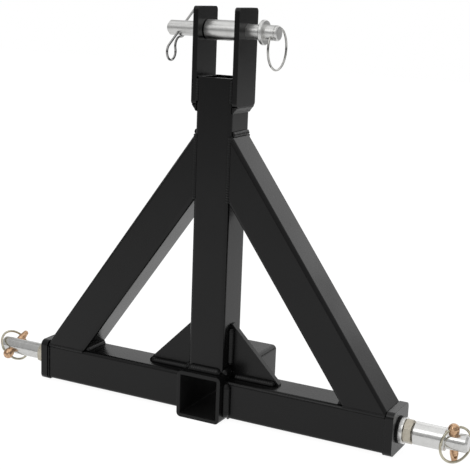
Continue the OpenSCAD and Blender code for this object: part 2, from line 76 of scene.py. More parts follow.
class Tree:
    """A small writer for shader and geometry node trees."""

    def __init__(self, tree: bpy.types.NodeTree) -> None:
        """Starts writing into a node tree."""
        self.tree = tree

    def feed(self, node: bpy.types.Node, inputs: dict[Any, Any]) -> None:
        """Sets or links some inputs of a node.

        Args:
            node: the node.
            inputs: each input's name or number, and a socket to link or else a constant.
        """
        for name, value in inputs.items():
            if isinstance(value, Socket):
                self.tree.links.new(value, node.inputs[name])
            else:
                node.inputs[name].default_value = value

    def add(self, kind: str, inputs: dict[Any, Any] | None = None, **settings: Any) -> bpy.types.Node:
        """Adds a node.

        Args:
            kind: the node's type name.
            inputs: what its inputs take, as for feed.
            **settings: attributes to set on the node.

        Returns:
            The new node.
        """
        node = self.tree.nodes.new(kind)
        for name, value in settings.items():
            setattr(node, name, value)
        self.feed(node, inputs or {})
        return node

    def math(self, operation: str, first: Any, second: Any = 0.0) -> Socket:
        """Adds a Math node and gives its result."""
        return self.add("ShaderNodeMath", {0: first, 1: second}, operation=operation).outputs[0]

    def mix_colour(self, factor: Any, first: Any, second: Any) -> Socket:
        """Mixes two colours. The factor says how much of the second one shows."""
        return self.add("ShaderNodeMix", {0: factor, 6: first, 7: second}, data_type="RGBA").outputs[2]

    def noise(self, vector: Any, scale: Any, detail: float, rough: float) -> Socket:
        """Adds a noise texture and gives its factor."""
        inputs = {"Vector": vector, "Scale": scale, "Detail": detail, "Roughness": rough}
        return self.add("ShaderNodeTexNoise", inputs).outputs["Fac"]

    def ramp(self, value: Any, span: Span) -> Socket:
        """Maps a value, clamped. The span holds the range's start and end, then the results there."""
        return self.add("ShaderNodeMapRange", dict(enumerate((value, *span))), clamp=True).outputs[0]

    def place(self) -> Socket:
        """Gives the shaded point, in metres in its object's own frame."""
        return self.add("ShaderNodeTexCoord").outputs["Object"]

    def split(self, vector: Any) -> Any:
        """Gives the X, Y and Z outputs of a vector's Separate node."""
        return self.add("ShaderNodeSeparateXYZ", {0: vector}).outputs

    def shared(self, effect: bpy.types.NodeTree, inputs: dict[str, float]) -> Any:
        """Adds a shared effect and gives its outputs."""
        return self.add("ShaderNodeGroup", inputs, node_tree=effect).outputs


GroupParts = tuple[bpy.types.NodeTree, Tree, bpy.types.Node, bpy.types.Node]


def fresh_tree(owner: Any) -> Tree:
    """Empties the node tree of a material or a world.

    Args:
        owner: the material or the world.

    Returns:
        A writer for the tree.
    """
    owner.use_nodes = True
    owner.node_tree.nodes.clear()
    return Tree(owner.node_tree)


def new_group(name: str, kind: str, inputs: dict[str, Any], outputs: dict[str, str]) -> GroupParts:
    """Makes an empty node group with its sockets.

    Args:
        name: the group's name.
        kind: the kind of node tree.
        inputs: each input's name, and a number as its default or else its socket type.
        outputs: each output's name and socket type.

    Returns:
        The group, its writer, its input node and its output node.
    """
    group = bpy.data.node_groups.new(name, kind)
    for label, given in inputs.items():
        if isinstance(given, float):
            socket = group.interface.new_socket(name=label, in_out="INPUT", socket_type=FLOAT)
            socket.default_value = given
        else:
            group.interface.new_socket(name=label, in_out="INPUT", socket_type=given)
    for label, socket_type in outputs.items():
        group.interface.new_socket(name=label, in_out="OUTPUT", socket_type=socket_type)
    writer = Tree(group)
    return group, writer, writer.add("NodeGroupInput"), writer.add("NodeGroupOutput")


class Effects:
    """Shader effects that several finishes share, each one a node group built once."""

    def __init__(self) -> None:
        """Builds the groups."""
        self.peel = self._peel()
        self.edge = self._edge()
        self.film = self._film()
        self.turned = self._turned()
        self.bore = self._bore()

    @staticmethod
    def _peel() -> bpy.types.NodeTree:
        """Builds the pebbled height and the broad mottle of a baked powder coat.

        Returns:
            The group, with a Height and a Mottle output.
        """
        scales = {"Scale": 900.0, "Mottle Scale": 14.0}
        group, tree, source, sink = new_group(
            "powder_peel", SHADING, scales, {"Height": FLOAT, "Mottle": FLOAT}
        )
        place = tree.place()
        pebbles = tree.noise(place, source.outputs["Scale"], detail=2.0, rough=0.5)
        mottle = tree.noise(place, source.outputs["Mottle Scale"], detail=3.0, rough=0.5)
        tree.feed(sink, {"Height": pebbles, "Mottle": mottle})
        return group

    @staticmethod
    def _edge() -> bpy.types.NodeTree:
        """Builds a softened edge: a rounded normal, and an edge mask that carries painted highlights.

        Returns:
            The group, with a Normal and a Mask output.
        """
        flat_cosine, edge_cosine = 1.0, 0.86
        group, tree, source, sink = new_group(
            "soft_edge", SHADING, {"Radius": 0.0007}, {"Normal": VECTOR, "Mask": FLOAT}
        )
        soft = tree.add("ShaderNodeBevel", {"Radius": source.outputs["Radius"]}, samples=6).outputs[0]
        true_face = tree.add("ShaderNodeNewGeometry").outputs["Normal"]
        dot = tree.add("ShaderNodeVectorMath", {0: soft, 1: true_face}, operation="DOT_PRODUCT")
        mask = tree.ramp(dot.outputs["Value"], (flat_cosine, edge_cosine, 0.0, 1.0))
        tree.feed(sink, {"Normal": soft, "Mask": mask})
        return group

    @staticmethod
    def _film() -> bpy.types.NodeTree:
        """Builds a cloudy film of dust and handling marks.

        Returns:
            The group, with a Mask output.
        """
        clean, cloudy = 0.42, 0.72
        group, tree, source, sink = new_group(
            "handling_film", SHADING, {"Scale": 22.0, "Amount": 0.4}, {"Mask": FLOAT}
        )
        cloud = tree.noise(tree.place(), source.outputs["Scale"], detail=6.0, rough=0.62)
        patch = tree.ramp(cloud, (clean, cloudy, 0.0, 1.0))
        tree.feed(sink, {"Mask": tree.math("MULTIPLY", patch, source.outputs["Amount"])})
        return group

    @staticmethod
    def _turned() -> bpy.types.NodeTree:
        """Builds the fine rings that a lathe leaves round a bar that lies along X.

        Returns:
            The group, with a Height and a Shade output.
        """
        shade_scale = 60.0
        group, tree, source, sink = new_group(
            "turned_rings", SHADING, {"Pitch": 1400.0, "Cross": 30.0}, {"Height": FLOAT, "Shade": FLOAT}
        )
        place = tree.place()
        parts = tree.split(place)
        join = tree.add("ShaderNodeCombineXYZ")
        for axis, stretch in enumerate(("Pitch", "Cross", "Cross")):
            tree.feed(join, {axis: tree.math("MULTIPLY", parts[axis], source.outputs[stretch])})
        rings = tree.noise(join.outputs[0], 1.0, detail=3.0, rough=0.6)
        shade = tree.noise(place, shade_scale, detail=3.0, rough=0.5)
        tree.feed(sink, {"Height": rings, "Shade": shade})
        return group

    @staticmethod
    def _bore() -> bpy.types.NodeTree:
        """Builds the mask of a square bore that lies along Y, inside which shade is painted.

        Returns:
            The group, with a Mask output.
        """
        group, tree, source, sink = new_group(
            "square_bore", SHADING, {"Half Width": 0.027, "Height": 0.032}, {"Mask": FLOAT}
        )
        parts = tree.split(tree.place())
        aside = tree.math("ABSOLUTE", parts["X"])
        rise = tree.math("ABSOLUTE", tree.math("SUBTRACT", parts["Z"], source.outputs["Height"]))
        farther = tree.math("MAXIMUM", aside, rise)
        tree.feed(sink, {"Mask": tree.math("LESS_THAN", farther, source.outputs["Half Width"])})
        return group


class Texture(Enum):
    """How the surface of a finish is marked."""

    PEEL = "peel"
    TURNED = "turned"
    PLAIN = "plain"


# Depth of the finest marks, in metres
BUMP_DEPTH_M = 0.0002
# Shades of the marks at which a surface is smoothest and roughest
SMOOTH_SHADE = 0.3
ROUGH_SHADE = 0.7
# Painted shade: the grey painted inside a bore that light hardly reaches, and what the bore adds to the
# roughness
BORE_PAINTED_SHADE = 0.0008
BORE_ROUGHER = 0.5


@dataclass(frozen=True)
class Finish:
    """One surface finish.

    Attributes:
        name: the material's name.
        slot: the record's material slot; not used.
        colour: its main colour.
        tint: the colour that its clouds add.
        edge_colour: the lighter colour painted along its edges as a highlight.
        rough: its roughness where it is smoothest.
        rough_spread: how much rougher it gets in its rough parts.
        soft_radius: radius of its softened edges, in millimetres.
        film: how much of the tint its clouds carry.
        edge_amount: how much of that painted edge highlight shows on an edge.
        metallic: 1 for bare or plated metal, 0 for paint.
        specular: specular level, for paint.
        texture: how the surface is marked.
        bump: the strength of that marking.
        cloud: how many clouds lie in a metre.
        hollow: half the width of a bore whose inside is painted dark as shade, in millimetres.
        hollow_height: height of that bore's axis, in millimetres.
    """

    name: str
    slot: str
    colour: Colour
    tint: Colour
    edge_colour: Colour
    rough: float
    rough_spread: float
    soft_radius: float
    film: float
    edge_amount: float = 0.6
    metallic: float = 1.0
    specular: float = 0.5
    texture: Texture = Texture.PLAIN
    bump: float = 0.0
    cloud: float = 22.0
    hollow: float = 0.0
    hollow_height: float = 0.0

    def _marked(self, tree: Tree, effects: Effects, normal: Socket, shade: Socket) -> tuple[Socket, Socket]:
        """Adds the surface's marks.

        Args:
            tree: the material's writer.
            effects: the shared node groups.
            normal: the surface's normal.
            shade: the value that its roughness follows where it has no marks.

        Returns:
            The marked normal, and the value that the roughness follows.
        """
        if self.texture is Texture.PLAIN:
            return normal, shade
        if self.texture is Texture.PEEL:
            marks = tree.shared(effects.peel, {})
            shade = marks["Mottle"]
        else:
            marks = tree.shared(effects.turned, {})
            shade = marks["Shade"]
        raised = {"Strength": self.bump, "Distance": BUMP_DEPTH_M, "Height": marks["Height"]}
        return tree.add("ShaderNodeBump", {**raised, "Normal": normal}).outputs[0], shade

    def build(self, effects: Effects) -> bpy.types.Material:
        """Builds the material.

        Args:
            effects: the shared node groups.

        Returns:
            The finished material.
        """
        material = bpy.data.materials.new(self.name)
        tree = fresh_tree(material)
        film = tree.shared(effects.film, {"Amount": self.film, "Scale": self.cloud})["Mask"]
        edge = tree.shared(effects.edge, {"Radius": self.soft_radius * MM})
        clouded = tree.mix_colour(film, rgba(self.colour), rgba(self.tint))
        # Painted highlight: the edges are lightened towards the edge colour.
        painted_edge_light = tree.math("MULTIPLY", edge["Mask"], self.edge_amount)
        colour = tree.mix_colour(painted_edge_light, clouded, rgba(self.edge_colour))
        normal, shade = self._marked(tree, effects, edge["Normal"], film)
        roughest = self.rough + self.rough_spread
        roughness = tree.ramp(shade, (SMOOTH_SHADE, ROUGH_SHADE, self.rough, roughest))
        # Painted shade: the inside of the bore is painted near-black and made rougher.
        if self.hollow > 0.0:
            sizes = {"Half Width": self.hollow * MM, "Height": self.hollow_height * MM}
            bore = tree.shared(effects.bore, sizes)["Mask"]
            colour = tree.mix_colour(bore, colour, grey(BORE_PAINTED_SHADE))
            roughness = tree.math("ADD", roughness, tree.math("MULTIPLY", bore, BORE_ROUGHER))
        looks = {
            "Base Color": colour,
            "Roughness": roughness,
            "Normal": normal,
            "Metallic": self.metallic,
            "Specular IOR Level": self.specular,
        }
        shader = tree.add("ShaderNodeBsdfPrincipled", looks)
        tree.add("ShaderNodeOutputMaterial", {0: shader.outputs[0]})
        return material


# Each finish's edge colour is a highlight painted along its edges.
BLACK_COAT = Finish(
    name="satin_black_coat",
    slot="black_coat",
    colour=(0.0030, 0.0030, 0.0031),
    tint=(0.0046, 0.0046, 0.0048),
    edge_colour=(0.045, 0.045, 0.046),
    edge_amount=0.5,
    metallic=0.0,
    rough=0.21,
    rough_spread=0.07,
    specular=0.28,
    texture=Texture.PEEL,
    bump=0.2,
    soft_radius=0.9,
    film=0.5,
)
# The receiver's coat has shade painted inside its bore.
RECEIVER_COAT = replace(BLACK_COAT, name="receiver_coat", hollow=27.2, hollow_height=31.75)
WELD_COAT = replace(
    BLACK_COAT,
    name="coated_weld",
    slot="weld_coat",
    colour=(0.0032, 0.0032, 0.0033),
    tint=(0.0055, 0.0055, 0.0057),
    edge_amount=0.0,
    rough=0.25,
    rough_spread=0.08,
    soft_radius=0.2,
    film=0.6,
)
PIN_ZINC = Finish(
    name="pin_zinc",
    slot="zinc",
    colour=(0.66, 0.66, 0.65),
    tint=(0.49, 0.485, 0.47),
    edge_colour=(0.80, 0.80, 0.79),
    rough=0.30,
    rough_spread=0.12,
    texture=Texture.TURNED,
    bump=0.12,
    soft_radius=0.3,
    film=0.4,
    cloud=150.0,
)
STUD_ZINC = replace(
    PIN_ZINC,
    name="stud_zinc",
    colour=(0.64, 0.64, 0.63),
    tint=(0.44, 0.435, 0.42),
    rough=0.18,
    rough_spread=0.08,
    bump=0.08,
    film=0.5,
)
SLEEVE_ZINC = replace(
    PIN_ZINC,
    name="sleeve_zinc",
    colour=(0.67, 0.67, 0.66),
    tint=(0.53, 0.525, 0.51),
    edge_colour=(0.90, 0.90, 0.89),
    rough=0.18,
    rough_spread=0.10,
    cloud=120.0,
)
WASHER_STEEL = replace(
    PIN_ZINC,
    name="dark_washer_steel",
    slot="dark_steel",
    colour=(0.030, 0.030, 0.030),
    tint=(0.050, 0.048, 0.046),
    edge_colour=(0.12, 0.12, 0.12),
    rough=0.34,
    rough_spread=0.14,
    bump=0.15,
    film=0.5,
    cloud=200.0,
)
BRIGHT_STEEL = replace(
    PIN_ZINC,
    name="bright_spring_steel",
    slot="bright_steel",
    colour=(0.82, 0.82, 0.81),
    tint=(0.48, 0.475, 0.46),
    edge_colour=(0.90, 0.90, 0.89),
    rough=0.24,
    rough_spread=0.14,
    bump=0.15,
    soft_radius=0.4,
    film=0.5,
    cloud=260.0,
)
NUT_ZINC = Finish(
    name="yellowed_nut_zinc",
    slot="yellow_zinc_nut",
    colour=(0.50, 0.465, 0.39),
    tint=(0.37, 0.33, 0.26),
    edge_colour=(0.66, 0.63, 0.56),
    rough=0.32,
    rough_spread=0.16,
    soft_radius=0.5,
    film=0.6,
    cloud=200.0,
)
GOLD_ZINC = Finish(
    name="gold_zinc",
    slot="gold_zinc",
    colour=(0.68, 0.45, 0.28),
    tint=(0.20, 0.09, 0.05),
    edge_colour=(0.74, 0.57, 0.40),
    rough=0.18,
    rough_spread=0.14,
    soft_radius=0.6,
    film=0.9,
    cloud=240.0,
)
RING_WIRE = Finish(
    name="ring_wire",
    slot="ring_wire",
    colour=(0.52, 0.49, 0.39),
    tint=(0.20, 0.17, 0.12),
    edge_colour=(0.6, 0.6, 0.6),
    edge_amount=0.0,
    rough=0.13,
    rough_spread=0.10,
    soft_radius=0.1,
    film=0.6,
    cloud=110.0,
)
PULL_WIRE = replace(RING_WIRE, name="pull_wire", colour=(0.51, 0.505, 0.485), tint=(0.17, 0.165, 0.155))
SPRING_WIRE = replace(
    RING_WIRE,
    name="spring_wire",
    slot="spring_wire",
    colour=(0.36, 0.36, 0.355),
    tint=(0.14, 0.138, 0.132),
    rough=0.12,
    film=0.5,
    cloud=150.0,
)
COATS = (BLACK_COAT, RECEIVER_COAT, WELD_COAT)
PLATINGS = (PIN_ZINC, STUD_ZINC, SLEEVE_ZINC, WASHER_STEEL, BRIGHT_STEEL, NUT_ZINC, GOLD_ZINC)
FINISHES = (*COATS, *PLATINGS, RING_WIRE, PULL_WIRE, SPRING_WIRE)
BLACK_PAIRS = ("crossbar", "brace", "gusset", "end_plate", "ear")
BLACK_NODES = ("mast_tube", *(f"{piece}_{side}" for piece in BLACK_PAIRS for side in ("left", "right")))
NODE_FINISHES = {
    **dict.fromkeys(BLACK_NODES, BLACK_COAT),
    "receiver_tube": RECEIVER_COAT,
    "lower_stud_left": STUD_ZINC,
    "lower_stud_right": STUD_ZINC,
    "lower_sleeve": SLEEVE_ZINC,
    "top_pin": PIN_ZINC,
    "top_sleeve": PIN_ZINC,
    "flat_washers": WASHER_STEEL,
    "lock_washers": BRIGHT_STEEL,
    "jam_nuts": NUT_ZINC,
    "linch_pin_left": GOLD_ZINC,
    "linch_pin_right": GOLD_ZINC,
}


class Side(Enum):
    """Which end of the crossbar a piece belongs to."""

    LEFT = -1
    RIGHT = 1


class GeometryRules:
    """Geometry node trees for pieces that follow a path or carry a repeated pattern.

    Attributes:
        GRAIN_SCALE: how many grains of a weld's unevenness lie in a metre.
        GRAIN_SHARE: height of that unevenness, as a share of a crescent's.
        CREST_POWER: below 1, it gives the crescents broad tops and narrow valleys.
        CREST_MIDDLE: the crescents' mean height, which leaves the bead as thick as it was.
    """

    GRAIN_SCALE: float = 170.0
    GRAIN_SHARE: float = 1.2
    CREST_POWER: float = 0.7
    CREST_MIDDLE: float = 0.6

    def __init__(self) -> None:
        """Builds the trees."""
        self.wire = self._wire_tree()
        self.ripple = self._ripple_tree()

    @staticmethod
    def _tree(name: str, floats: dict[str, float]) -> GroupParts:
        """Makes an empty geometry tree that takes some numbers and a material."""
        inputs = {"Geometry": GEOMETRY, **floats, "Material": MATERIAL}
        return new_group(name, "GeometryNodeTree", inputs, {"Geometry": GEOMETRY})

    @staticmethod
    def _close(tree: Tree, geometry: Any, source: bpy.types.Node, sink: bpy.types.Node) -> None:
        """Ends a tree with smooth faces, real geometry and the piece's material.

        Args:
            tree: the writer.
            geometry: the geometry socket to finish.
            source: the group's input node.
            sink: the group's output node.
        """
        smooth = tree.add("GeometryNodeSetShadeSmooth", {0: geometry}).outputs[0]
        real = tree.add("GeometryNodeRealizeInstances", {0: smooth}).outputs[0]
        inputs = {"Geometry": real, "Material": source.outputs["Material"]}
        tree.feed(sink, {0: tree.add("GeometryNodeSetMaterial", inputs).outputs[0]})

    @staticmethod
    def _kept_number(tree: Tree, name: str) -> Socket:
        """Reads a number that the mesh keeps at each of its points."""
        return tree.add("GeometryNodeInputNamedAttribute", {"Name": name}, data_type="FLOAT").outputs[0]

    def _wire_tree(self) -> bpy.types.NodeTree:
        """Builds the tree that sweeps a round wire along a chain of edges.

        Returns:
            The tree, with inputs Radius, Step and Sides.
        """
        floats = {"Radius": 0.0016, "Step": 0.0012, "Sides": 24.0}
        group, tree, source, sink = self._tree("bent_wire", floats)
        given = source.outputs
        curve = tree.add("GeometryNodeMeshToCurve", {0: given["Geometry"]}).outputs[0]
        spaced = {"Curve": curve, "Length": given["Step"]}
        even = tree.add("GeometryNodeResampleCurve", spaced, mode="LENGTH").outputs[0]
        round_wire = {"Radius": given["Radius"], "Resolution": given["Sides"]}
        ring = tree.add("GeometryNodeCurvePrimitiveCircle", round_wire).outputs[0]
        swept = {"Curve": even, "Profile Curve": ring, "Fill Caps": True}
        self._close(tree, tree.add("GeometryNodeCurveToMesh", swept).outputs[0], source, sink)
        return group

    def _ripple_tree(self) -> bpy.types.NodeTree:
        """Builds the tree that raises the crescents of a weld along a bead.

        It reads two attributes of the bead's points: run, the way along the bead, and across, the
        way from its middle line.

        Returns:
            The tree, with inputs Pitch, Height, Bow, Lift, Wander and Seed.
        """
        floats = {
            "Pitch": 0.003,
            "Height": 0.0007,
            "Bow": 60.0,
            "Lift": 0.0001,
            "Wander": 0.5,
            "Seed": 3.0,
        }
        group, tree, source, sink = self._tree("weld_ripple", floats)
        given = source.outputs
        pitch, height = given["Pitch"], given["Height"]
        run = self._kept_number(tree, "run")
        across = self._kept_number(tree, "across")
        place = tree.add("GeometryNodeInputPosition").outputs[0]
        grains = {"Vector": place, "W": given["Seed"], "Scale": self.GRAIN_SCALE, "Detail": 2.0}
        grain = tree.add("ShaderNodeTexNoise", grains, noise_dimensions="4D").outputs[0]
        level = tree.math("SUBTRACT", grain, 0.5)
        drift = tree.math("MULTIPLY", tree.math("MULTIPLY", level, given["Wander"]), pitch)
        bow = tree.math("MULTIPLY", tree.math("MULTIPLY", across, across), given["Bow"])
        bowed = tree.math("ADD", run, bow)
        phase = tree.math("DIVIDE", tree.math("ADD", bowed, drift), pitch)
        wave = tree.math("ABSOLUTE", tree.math("SINE", tree.math("MULTIPLY", phase, math.pi)))
        crest = tree.math("SUBTRACT", tree.math("POWER", wave, self.CREST_POWER), self.CREST_MIDDLE)
        rise = tree.math("ADD", tree.math("MULTIPLY", crest, height), given["Lift"])
        uneven = tree.math("MULTIPLY", tree.math("MULTIPLY", level, height), self.GRAIN_SHARE)
        normal = tree.add("GeometryNodeInputNormal").outputs[0]
        scaled = {0: normal, "Scale": tree.math("ADD", rise, uneven)}
        push = tree.add("ShaderNodeVectorMath", scaled, operation="SCALE").outputs[0]
        moved = {"Geometry": given["Geometry"], "Offset": push}
        self._close(tree, tree.add("GeometryNodeSetPosition", moved).outputs[0], source, sink)
        return group

    @staticmethod
    def apply(obj: bpy.types.Object, tree: bpy.types.NodeTree, values: dict[str, Any]) -> None:
        """Runs a tree on an object and keeps the result as a plain mesh.

        Args:
            obj: the object, which has no other modifier.
            tree: the geometry tree.
            values: each input's name and value.
        """
        modifier = obj.modifiers.new("rule", "NODES")
        modifier.node_group = tree
        for item in tree.interface.items_tree:
            if item.item_type == "SOCKET" and item.in_out == "INPUT" and item.name in values:
                modifier[item.identifier] = values[item.name]
        depsgraph = bpy.context.evaluated_depsgraph_get()
        depsgraph.update()
        result = bpy.data.meshes.new_from_object(obj.evaluated_get(depsgraph), depsgraph=depsgraph)
        old = obj.data
        obj.modifiers.remove(modifier)
        obj.data = result
        result.name = obj.name
        bpy.data.meshes.remove(old)


def new_object(name: str, data: Any) -> bpy.types.Object:
    """Puts a mesh, a lamp or a camera into the scene.

    Args:
        name: the object's name.
        data: what it holds. A mesh is in the frame of the solids.

    Returns:
        The object, at the origin.
    """
    obj = bpy.data.objects.new(name, data)
    bpy.context.scene.collection.objects.link(obj)
    return obj


def triangle_count(obj: bpy.types.Object) -> int:
    """Counts the triangles of an object's mesh."""
    obj.data.calc_loop_triangles()
    return len(obj.data.loop_triangles)


def arc(middle: Sequence[float], radius: float, start: float, end: float, count: int) -> np.ndarray:
    """Lays points on a plane arc, from one angle to another in degrees."""
    turn = np.radians(np.linspace(start, end, count))
    return np.stack([middle[0] + radius * np.cos(turn), middle[1] + radius * np.sin(turn)], axis=1)


@dataclass
class WireForm:
    """A length of round wire bent to a path.

    Attributes:
        name: the piece's name.
        node: the solid that it stands for.
        body: the body that it rides on.
        finish: its finish.
        wire: the wire's diameter.
        points: the path, in millimetres.
        closed: whether the path returns to its start.
        easing: how far corners are rounded.
        spacing: distance between the points of the eased path.
        step: distance between the rings of the swept wire.
        sides: how many faces lie round the wire.
    """

    name: str
    node: str
    body: str
    finish: Finish
    wire: float
    points: np.ndarray
    closed: bool
    easing: float = 1.1
    spacing: float = 0.25
    step: float = 0.8
    sides: float = 24.0

    def _even(self) -> np.ndarray:
        """Spaces the path's points evenly.

        Returns:
            The points, one spacing apart.
        """
        line = np.vstack([self.points, self.points[:1]]) if self.closed else self.points
        lengths = np.linalg.norm(np.diff(line, axis=0), axis=1)
        walked = np.concatenate([[0.0], np.cumsum(lengths)])
        count = int(walked[-1] / self.spacing)
        marks = np.linspace(0.0, walked[-1], count + 1)
        even = np.stack([np.interp(marks, walked, line[:, axis]) for axis in range(3)], axis=1)
        return even[:-1] if self.closed else even

    def _eased(self) -> np.ndarray:
        """Rounds the path's corners with a sliding bell-shaped average.

        Returns:
            The rounded points.
        """
        even = self._even()
        reach = int(3.0 * self.easing / self.spacing)
        offsets = np.arange(-reach, reach + 1) * self.spacing
        weights = np.exp(-0.5 * (offsets / self.easing) ** 2)
        weights /= weights.sum()
        if self.closed:
            padded = np.vstack([even[-reach:], even, even[:reach]])
        else:
            head = 2.0 * even[0] - even[reach:0:-1]
            tail = 2.0 * even[-1] - even[-2 : -reach - 2 : -1]
            padded = np.vstack([head, even, tail])
        return np.stack([np.convolve(padded[:, axis], weights, "valid") for axis in range(3)], axis=1)

    def build(self, rules: GeometryRules, finishes: Materials) -> None:
        """Sweeps the wire and joins it to its body.

        Args:
            rules: the geometry trees.
            finishes: each finish's material.
        """
        path = self._eased() * MM
        count = len(path)
        edges = [(index, index + 1) for index in range(count - 1)]
        if self.closed:
            edges.append((count - 1, 0))
        mesh = bpy.data.meshes.new(self.name)
        mesh.from_pydata(path.tolist(), edges, [])
        piece = new_object(self.name, mesh)
        sizes = {
            "Radius": self.wire / 2 * MM,
            "Step": self.step * MM,
            "Sides": self.sides,
            "Material": finishes[self.finish.name],
        }
        rules.apply(piece, rules.wire, sizes)
        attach(piece, self.body)
        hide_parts(self.node)
        LOG.info("%s: %d triangles", self.name, triangle_count(piece))


@dataclass(frozen=True)
class HungRing:
    """A wire ring closed by a straight length that it turns on.

    Attributes:
        radius: radius to the middle of the wire.
        half: half the straight length.
        wire: the wire's diameter.
        count: how many points lie on the round stretch.
    """

    radius: float
    half: float
    wire: float
    count: int = 181

    def outline(self) -> np.ndarray:
        """Lays out the ring in its own plane, hanging from the X axis.

        Returns:
            The points, from one end of the straight length round to the other.
        """
        drop = math.sqrt(self.radius**2 - self.half**2)
        start = math.degrees(math.atan2(drop, self.half))
        flat = arc((0.0, -drop), self.radius, start, -180.0 - start, self.count)
        return np.stack([flat[:, 0], np.zeros(self.count), flat[:, 1]], axis=1)


@dataclass
class LinchPins:
    """The snap rings of the two linch pins, at the studs' cross holes.

    Attributes:
        hole_x: how far from the middle the holes lie.
        stud_z: height of the studs' axis.
        pivot: from the stud's axis out to the ring's straight length.
        ring: the ring.
        turn: how far the linch pin is turned about its own axis, in degrees.
        lean: how far the ring leans off the hole's line, in degrees.
        roll_right: how far the right hole is rolled about its stud, in degrees.
        roll_left: how far the left hole is rolled about its stud, in degrees.
    """

    hole_x: float = 331.7
    stud_z: float = 31.0
    pivot: float = 17.7
    ring: HungRing = HungRing(radius=22.5, half=8.2, wire=3.2)
    turn: float = 52.0
    lean: float = 10.0
    roll_right: float = 16.0
    roll_left: float = 116.5

    def placed(self, side: Side) -> np.ndarray:
        """Places a ring's path on its stud.

        Args:
            side: which stud.

        Returns:
            The path, in millimetres.
        """
        roll = self.roll_right if side is Side.RIGHT else self.roll_left
        place = (
            Matrix.Translation((self.hole_x, 0.0, self.stud_z))
            @ Matrix.Rotation(math.radians(roll), 4, "X")
            @ Matrix.Rotation(math.radians(self.turn), 4, "Z")
            @ Matrix.Translation((0.0, 0.0, self.pivot))
            @ Matrix.Rotation(math.radians(-self.lean), 4, "X")
        )
        points = [place @ Vector(point) for point in self.ring.outline()]
        return np.array([[side.value * point.x, point.y, point.z] for point in points])

    def build(self, rules: GeometryRules, finishes: Materials) -> None:
        """Builds both snap rings.

        Args:
            rules: the geometry trees.
            finishes: each finish's material.
        """
        for side in Side:
            word = side.name.lower()
            WireForm(
                name=f"snap_ring_wire_{word}",
                node=f"linch_ring_{word}",
                body=f"{word}_linch_ring",
                finish=RING_WIRE,
                wire=self.ring.wire,
                points=self.placed(side),
                closed=True,
            ).build(rules, finishes)


@dataclass
class DrawPin:
    """The top draw pin's hairpin clip and pull ring.

    Attributes:
        axis_z: height of the pin's axis.
        roll: how far its cross holes are rolled about it, in degrees.
        ring_x: where the pull ring's hole lies along the pin.
        clip_x: where the clip's hole lies along the pin.
        pin_radius: the pin's radius.
        clip_wire: the clip's wire diameter.
        loop_radius: radius of the clip's loop, to the middle of the wire.
        loop_set: from the pin's axis out to the loop's middle.
        leg: from the pin's axis to the tip of the straight leg.
        lead: straight stretch of the wire before its loop.
        waist_radius: radius of the bend between loop and seat.
        seat_gap: between the pin and the wire's seat on it.
        seat_end: where on the pin the seat ends, in degrees.
        flare_out: how far along the leg the flared tip lies.
        flare_rise: how far above the seat the flared tip lies.
        bend_points: how many points lie on each bend.
        clip_easing: how far the clip's corners are rounded.
        pull: the pull ring.
    """

    axis_z: float = 504.0
    roll: float = 35.0
    ring_x: float = 66.0
    clip_x: float = -64.0
    pin_radius: float = 9.5
    clip_wire: float = 3.0
    loop_radius: float = 10.5
    loop_set: float = 36.0
    leg: float = 44.0
    lead: float = 1.0
    waist_radius: float = 11.5
    seat_gap: float = 0.2
    seat_end: float = 84.0
    flare_out: float = 6.5
    flare_rise: float = 2.4
    bend_points: int = 48
    clip_easing: float = 0.9
    pull: HungRing = HungRing(radius=26.4, half=11.1, wire=2.8)

    def _placed(self, points: np.ndarray, x: float) -> np.ndarray:
        """Places a path at a cross hole of the pin.

        Args:
            points: the path, with X along the hole and the hole's middle at the origin.
            x: where the hole lies along the pin.

        Returns:
            The path, in millimetres.
        """
        place = (
            Matrix.Translation((x, 0.0, self.axis_z))
            @ Matrix.Rotation(math.radians(self.roll), 4, "X")
            @ Matrix.Rotation(math.radians(90.0), 4, "Z")
        )
        return np.array([place @ Vector(point) for point in points])

    def clip_path(self) -> np.ndarray:
        """Lays out the hairpin clip: leg, loop, waist, seat on the pin and flared end.

        The waist's bend touches both the loop and the seat, so its middle lies where two circles
        about their middles cross.

        Returns:
            The path in the clip's own plane, in millimetres.
        """
        seat = self.pin_radius + self.clip_wire / 2 + self.seat_gap
        loop = np.array([-self.loop_set, self.loop_radius])
        to_waist = self.loop_radius + self.waist_radius
        seat_to_waist = seat + self.waist_radius
        gap = float(np.linalg.norm(loop))
        along = (to_waist**2 - seat_to_waist**2 + gap**2) / (2.0 * gap)
        off = math.sqrt(to_waist**2 - along**2)
        way = -loop / gap
        waist = loop + along * way + off * np.array([-way[1], way[0]])
        loop_end = math.degrees(math.atan2(waist[1] - loop[1], waist[0] - loop[0]))
        seat_start = math.degrees(math.atan2(waist[1], waist[0]))
        count = self.bend_points
        flat = np.vstack(
            [
                [[self.leg, 0.0], [self.lead - self.loop_set, 0.0]],
                arc(loop, self.loop_radius, 270.0, loop_end, count),
                arc(waist, self.waist_radius, loop_end + 180.0, seat_start + 180.0, count),
                arc((0.0, 0.0), seat, seat_start, self.seat_end, count),
                [[self.flare_out, seat + self.flare_rise]],
            ]
        )
        return np.stack([flat[:, 0], np.zeros(len(flat)), -flat[:, 1]], axis=1)

    def build(self, rules: GeometryRules, finishes: Materials) -> None:
        """Builds the clip and the pull ring.

        Args:
            rules: the geometry trees.
            finishes: each finish's material.
        """
        WireForm(
            name="hairpin_clip_wire",
            node="hairpin_clip",
            body="pin_clip",
            finish=SPRING_WIRE,
            wire=self.clip_wire,
            points=self._placed(self.clip_path(), self.clip_x),
            closed=False,
            easing=self.clip_easing,
        ).build(rules, finishes)
        WireForm(
            name="pull_ring_wire",
            node="pull_ring",
            body="pin_ring",
            finish=PULL_WIRE,
            wire=self.pull.wire,
            points=self._placed(self.pull.outline(), self.ring_x),
            closed=True,
        ).build(rules, finishes)


